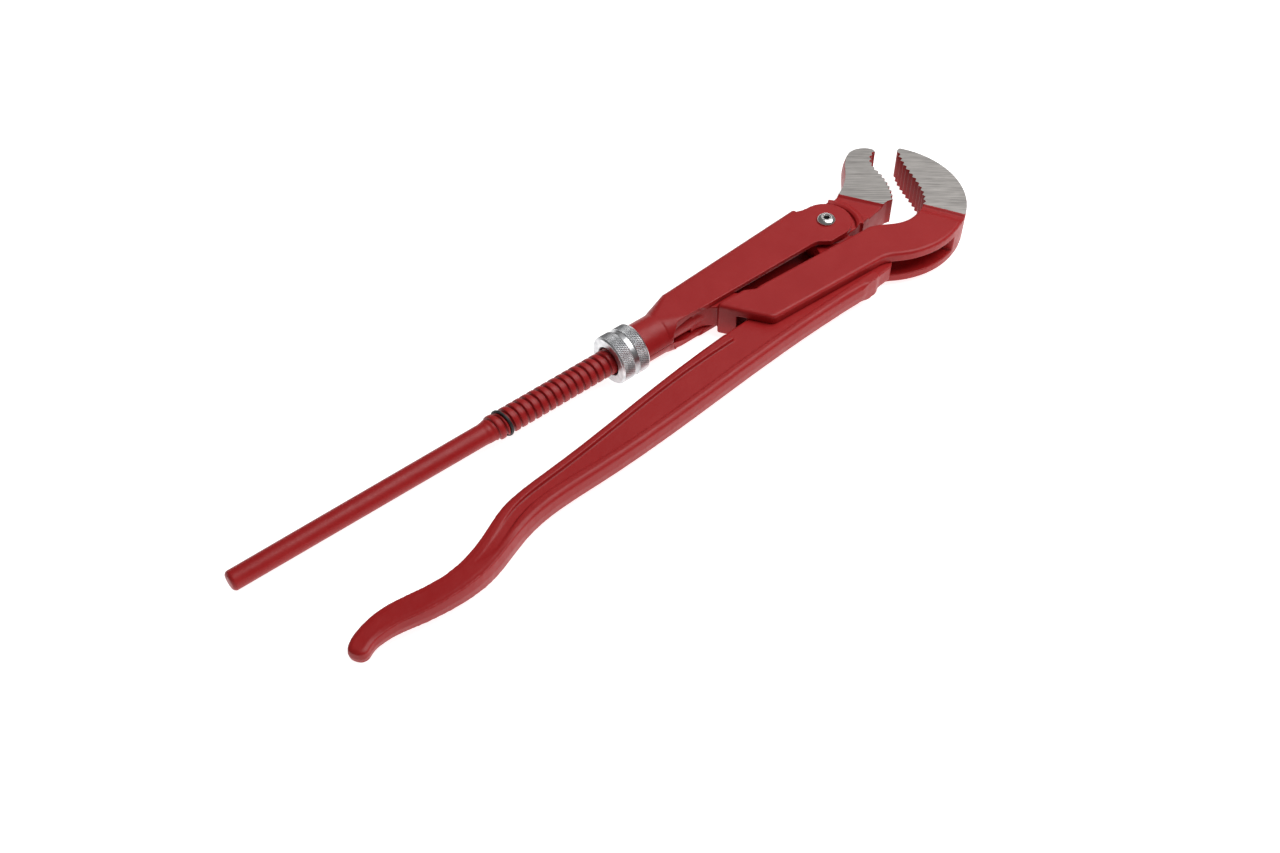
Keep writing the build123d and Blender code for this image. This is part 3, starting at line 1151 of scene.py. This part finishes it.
@dataclass
class AdjustingNut:
    """Round zinc-plated nut with two knurled bands and a plain waist."""

    node: str = "adjusting_nut"
    outer: float = 15.9
    waist: float = 15.15
    start: float = -1.1
    length: float = 19.6
    bevel: float = 1.1
    waist_from: float = 7.8
    waist_to: float = 11.5
    bore: float = 8.6
    mouth: float = 9.9
    seat: float = 13.55
    seat_from: float = 7.8
    knurls: int = 66
    steps_per_knurl: int = 4
    knurl_depth: float = 0.48
    knurl_slant_deg: float = 32.0
    bevel_lip: float = 0.15
    lip: float = 0.3
    edge: float = 0.1
    face_edge: float = 0.12
    bore_from: float = 3.0
    bore_lead: float = 0.4

    def knurl(self, step: int, row: int) -> float:
        """How deep the crossed grooves cut at one place.

        Args:
            step: Which step round the nut.
            row: Which row of steps along it.

        Returns:
            The depth, in millimetres.
        """
        steps = self.steps_per_knurl
        depths = []
        for place in (step + row, step - row):
            phase = (place % steps) / steps
            depths.append(1 - 2 * abs(phase - 0.5))
        return self.knurl_depth * (1 - min(depths))

    def profile(self) -> list[tuple[float, float, bool]]:
        """The outline of the nut's cross-section, outside and then inside.

        Returns:
            Its places along the axis, their radii, and whether a knurl is cut there.
        """
        step = 2 * math.pi * self.outer / (self.knurls * self.steps_per_knurl)
        row = step / math.tan(math.radians(self.knurl_slant_deg))
        rear, front = self.start, self.length
        shoulder, rim = self.outer - self.lip, self.outer - self.bevel
        rows = [(rear, self.mouth, False), (rear, rim - self.bevel_lip, False)]
        rows += [(rear + self.face_edge, rim + self.edge, False)]
        rows += [(rear + self.bevel - self.edge, shoulder, False)]
        rear_band = (rear + self.bevel, self.waist_from - self.lip)
        front_band = (self.waist_to + self.lip, front - self.bevel)
        for start, end in (rear_band, front_band):
            count = round((end - start) / row)
            rows += [(start + (end - start) * i / count, self.outer, True) for i in range(count + 1)]
            if start < self.waist_from:
                rows += [(self.waist_from - self.edge, shoulder, False)]
                rows += [(self.waist_from, self.waist + self.edge, False)]
                rows += [(self.waist_from + self.lip, self.waist, False)]
                rows += [(self.waist_to - self.lip, self.waist, False)]
                rows += [(self.waist_to, self.waist + self.edge, False)]
                rows += [(self.waist_to + self.edge, shoulder, False)]
        rows += [(front - self.bevel + self.edge, shoulder, False)]
        rows += [(front - self.face_edge, rim + self.edge, False)]
        rows += [(front, rim - self.bevel_lip, False), (front, self.seat + self.lip, False)]
        rows += [(front - self.lip, self.seat, False), (self.seat_from, self.seat, False)]
        rows += [(self.seat_from, self.bore, False), (self.bore_from, self.bore, False)]
        rows += [(rear + self.bore_lead, self.mouth - self.lip, False)]
        return rows

    def build(self, finishes: Finishes) -> None:
        """Builds the nut.

        Args:
            finishes: The tool's finishes.
        """
        rows = self.profile()
        around = self.knurls * self.steps_per_knurl
        points, faces = [], []
        for number, (along, size, cut) in enumerate(rows):
            for step in range(around):
                angle = 2 * math.pi * step / around
                r = size - (self.knurl(step, number) if cut else 0.0)
                points.append((along, r * math.cos(angle), r * math.sin(angle)))
        for number in range(len(rows)):
            after = (number + 1) % len(rows)
            for step in range(around):
                beside = (step + 1) % around
                faces.append((number * around + step, number * around + beside,
                              after * around + beside, after * around + step))
        piece = new_object("nut", mesh_of("nut", np.array(points), faces))
        piece.data.materials.append(finishes.zinc)
        shade(piece, smooth=False)
        hand_in(piece, "knurled_nut", Body.NUT, Slot.ZINC_PLATE, self.node)


# ---- the lever leg --------------------------------------------------------------------------------


@dataclass
class LeverLeg:
    """Small jaw, hub, tongue and wavy handle, forged in one."""

    node: str = "lever_jaw_leg"
    grain: float = 0.45
    face: GroundFace = GroundFace(half=9.8, start=(227.5, -10.8), run=(-16.1, 27.7), side=-1, overlap=1.2,
                                  back=30.0, length=80.0, reach=70.0)
    edge_rounds: int = 7
    stiff: float = 0.8
    stiff_from: Span = (-3.0, 1.0)
    back: Span = (-0.64, 0.77)
    back_from: Span = (-2.0, 3.0)
    back_bulge: float = 1.7
    half: float = 7.5
    tongue_half: float = 5.5
    handle_from: Span = (168.0, 160.0)
    wall_half: float = 2.0
    wall_slope: float = 0.5
    wall_to: float = 182.0
    rim_r: float = 2.7
    draft: float = 0.7
    draft_middle: float = 0.45
    grow: float = 0.65
    panel: Span = (-95.0, -150.0)
    panel_end: Span = (-235.0, -205.0)
    panel_lip: float = 0.2
    panel_margin: float = 0.3
    thin: Span = (-120.0, -228.0)
    thin_share: float = 0.64
    collar_r: Span = (20.2, 25.2)
    collar_half: float = 10.2
    collar_turn: Span = (-40.0, 42.0)
    collar_from: float = 196.0
    collar_margin: float = 0.8
    neck_half: float = 8.1
    groove_r: float = 16.6
    groove_half: float = 7.7
    groove_top: float = 14.0
    groove_turn: Span = (-64.0, 60.0)
    arc_steps: int = 40

    def sector(self, name: str, turn: Span, inner: float, outer: float, low: float,
               high: float) -> bpy.types.Object:
        """A block in the shape of a piece of a ring about the pivot.

        Args:
            name: The block's name.
            turn: Where it begins and ends round the pivot, in degrees.
            inner: Its inner radius.
            outer: Its outer radius.
            low: Where it begins in Z.
            high: Where it ends in Z.

        Returns:
            The block as an object.
        """
        turns = np.radians(np.linspace(*turn, self.arc_steps))
        there = [(outer * math.cos(angle), outer * math.sin(angle)) for angle in turns]
        back = [(inner * math.cos(angle), inner * math.sin(angle)) for angle in reversed(turns)]
        return slab(name, [(PIVOT[0] + x, PIVOT[1] + y) for x, y in there + back], low, high)

    def collar(self, piece: bpy.types.Object) -> None:
        """Welds the round collar on the neck and sinks a groove between it and the link.

        Args:
            piece: The lever with an even skin.
        """
        inner, outer = self.collar_r
        ring = self.sector("collar", self.collar_turn, inner, outer, -self.collar_half, self.collar_half)
        combine(piece, ring, Joining.WELD)
        for side in (1, -1):
            low, high = sorted((side * self.groove_half, side * self.groove_top))
            groove = self.sector("groove", self.groove_turn, self.groove_r, inner, low, high)
            combine(piece, groove, Joining.CUT)
        piece.data.materials.clear()
        reskin(piece, self.grain)
        self.crown(piece)

    def crown(self, piece: bpy.types.Object) -> None:
        """Rounds the collar's top over into a bead.

        Args:
            piece: The lever with its collar.
        """
        inner, outer = self.collar_r
        points = read_points(piece.data)
        out = np.hypot(points[:, 0] - PIVOT[0], points[:, 1] - PIVOT[1])
        bead = np.sqrt(np.clip(1 - ((out - (inner + outer) / 2) / (outer - inner) * 2) ** 2, 0, 1))
        crown = (out > inner) & (out < outer) & (points[:, 0] > self.collar_from)
        crown &= (np.abs(points[:, 2]) > self.neck_half) & (self.face.beyond(points) < -self.collar_margin)
        height = self.neck_half + (np.abs(points[:, 2]) - self.neck_half) * bead
        points[:, 2] = np.where(crown, np.sign(points[:, 2]) * height, points[:, 2])
        write_points(piece.data, points)

    def rounded_rims(self, piece: bpy.types.Object) -> None:
        """Rounds the rims of the handle over and draws it thinner towards its end.

        Args:
            piece: The lever with an even skin.
        """
        points = read_points(piece.data)
        normals = read_normals(piece.data)
        on_handle = smoothstep(points[:, 0], *self.handle_from)
        wall = (np.abs(points[:, 2]) < self.wall_half) & (np.abs(normals[:, 2]) < self.wall_slope)
        wall &= points[:, 0] < self.wall_to
        finder = kdtree.KDTree(int(wall.sum()))
        for number, place in enumerate(points[wall]):
            finder.insert((place[0], place[1], 0.0), number)
        finder.balance()
        high = np.flatnonzero((np.abs(points[:, 2]) > self.half - self.rim_r) & (on_handle > 0))
        inward = np.array([finder.find((x, y, 0.0))[2] for x, y in points[high, :2]])
        over = np.clip(1 - inward / self.rim_r, 0.0, 1.0)
        limit = self.half - self.rim_r * (1 - np.sqrt(1 - over ** 2)) * on_handle[high]
        points[high, 2] = np.sign(points[high, 2]) * np.minimum(np.abs(points[high, 2]), limit)
        floor = (on_handle > 0) & (np.abs(points[:, 2]) > self.tongue_half - self.panel_margin)
        floor &= points[:, 0] < self.panel[0]
        rise = smoothstep(points[floor, 0], *self.panel) * smoothstep(points[floor, 0], *self.panel_end)
        missing = np.maximum(self.half - self.panel_lip - np.abs(points[floor, 2]), 0)
        points[floor, 2] += np.sign(points[floor, 2]) * missing * rise
        side = np.hypot(normals[:, 0], normals[:, 1])[:, None]
        outward = normals[:, :2] / np.maximum(side, 0.1) * np.clip(side * 2 - 1, 0, 1)
        lean = (self.draft * (self.draft_middle - np.abs(points[:, 2]) / self.half) + self.grow) * on_handle
        points[:, :2] += outward * lean[:, None]
        points[:, 2] *= 1 - (1 - self.thin_share) * smoothstep(points[:, 0], *self.thin)
        write_points(piece.data, points)
        reskin(piece, self.grain)

    def build(self, finishes: Finishes) -> None:
        """Builds the lever.

        Args:
            finishes: The tool's finishes.
        """
        piece = welded_copy(self.node)
        reskin(piece, self.grain)
        self.collar(piece)
        self.rounded_rims(piece)
        points = read_points(piece.data)
        past = self.face.beyond(points)
        freedom = 1.0 - self.stiff * smoothstep(past, *self.stiff_from)
        points = relaxed(piece.data, points, self.edge_rounds, freedom)
        on_back = smoothstep(past, *self.back_from)
        points += bulge(piece.data, points, self.back, self.back_bulge, self.face.half, on_back)
        self.face.swell(points, past)
        write_points(piece.data, points)
        piece.data.materials.append(finishes.enamel)
        self.face.grind(piece, finishes)
        shade(piece)
        hand_in(piece, "lever_forging", Body.LEVER, Slot.RED_ENAMEL, self.node)


# ---- the studio ---------------------------------------------------------------------------------------


@dataclass(frozen=True)
class Softbox:
    """One soft light that points at the tool."""

    name: str
    at: Colour
    power: float
    size: Span

    def hang(self) -> None:
        """Hangs the light in the studio."""
        data = bpy.data.lights.new(self.name, "AREA")
        data.shape = "RECTANGLE"
        data.size, data.size_y = self.size
        data.energy = self.power
        lamp = bpy.data.objects.new(self.name, data)
        bpy.context.scene.collection.objects.link(lamp)
        lamp.location = self.at
        lamp.rotation_euler = (-Vector(self.at)).to_track_quat("-Z", "Y").to_euler()


@dataclass
class Studio:
    """Pale seamless floor, soft light and the camera."""

    view_from: tuple[float, float, float] = (-0.4113, -0.4889, 0.6674)
    azimuth_deg: float = -39.66
    elevation_deg: float = 47.71
    lens: float = 42.27
    near_glow: float = 0.88
    far_glow: float = 1.0
    glow_grows: Span = (0.30, 1.0)
    tones: Span = (0.66, 0.68)
    floor_size: float = 12.0
    floor_drop: float = 0.0002
    room: float = 0.16
    softboxes: tuple[Softbox, ...] = (
        Softbox("back_softbox", (1.45, 1.15, 1.45), 3, (1.3, 1.1)),
        Softbox("top_softbox", (0.75, -0.35, 1.60), 30, (1.4, 1.4)),
    )

    def camera(self) -> None:
        """Sets up the camera that looks down along the tool."""
        data = bpy.data.cameras.new("camera")
        data.lens = self.lens
        data.sensor_width = 36.0
        data.clip_end = 50.0
        camera = bpy.data.objects.new("camera", data)
        bpy.context.scene.collection.objects.link(camera)
        turn = Matrix.Rotation(math.radians(self.azimuth_deg), 4, "Z")
        tilt = Matrix.Rotation(math.radians(90 - self.elevation_deg), 4, "X")
        camera.matrix_world = Matrix.Translation(self.view_from) @ turn @ tilt
        bpy.context.scene.camera = camera

    def floor(self) -> None:
        """A wide pale floor under the tool."""
        low = CAD_BOX[0][2]
        bpy.ops.mesh.primitive_plane_add(size=self.floor_size, location=(0, 0, low - self.floor_drop))
        floor = bpy.context.object
        floor.name = "floor"
        bench = NodeBench("pale_floor")
        darker, lighter = ((tone, tone, tone) for tone in self.tones)
        tone = bench.blended(bench.noise(3, 2), darker, lighter)
        roughness = bench.remapped(bench.noise(40, 2), (0.3, 0.7), (0.55, 0.62))
        bench.set_plain(specular_ior_level=0.15)
        bench.shader.inputs["Emission Color"].default_value = (1, 1, 1, 1)
        away = bench.add("ShaderNodeVectorMath")
        away.operation = "LENGTH"
        bench.link(bench.place, away.inputs[0])
        glow = bench.remapped(away.outputs["Value"], self.glow_grows, (self.near_glow, self.far_glow))
        bench.link(glow, bench.shader.inputs["Emission Strength"])
        floor.data.materials.append(bench.finish(tone, roughness, bench.bump(bench.noise(90, 2), 0.01)))

    def build(self) -> None:
        """Sets up camera, floor, lights and the plain white surroundings."""
        self.camera()
        self.floor()
        for softbox in self.softboxes:
            softbox.hang()
        world = bpy.data.worlds.new("white_room")
        world.use_nodes = True
        backdrop = world.node_tree.nodes["Background"]
        backdrop.inputs["Color"].default_value = (1, 1, 1, 1)
        backdrop.inputs["Strength"].default_value = self.room
        bpy.context.scene.world = world
        bpy.context.scene.view_settings.view_transform = "Standard"
        bpy.context.scene.view_settings.look = "None"


def main() -> None:
    """Builds the studio and every piece of the wrench, in order."""
    logging.basicConfig(level=logging.INFO, format="%(name)s: %(message)s")
    Studio().build()
    finishes = Finishes.made()
    for kind in (HookLeg, StopRing, FoldedLink, PivotScrew, RetainingRing, AdjustingNut, LeverLeg):
        kind().build(finishes)


if __name__ == "__main__":
    main()
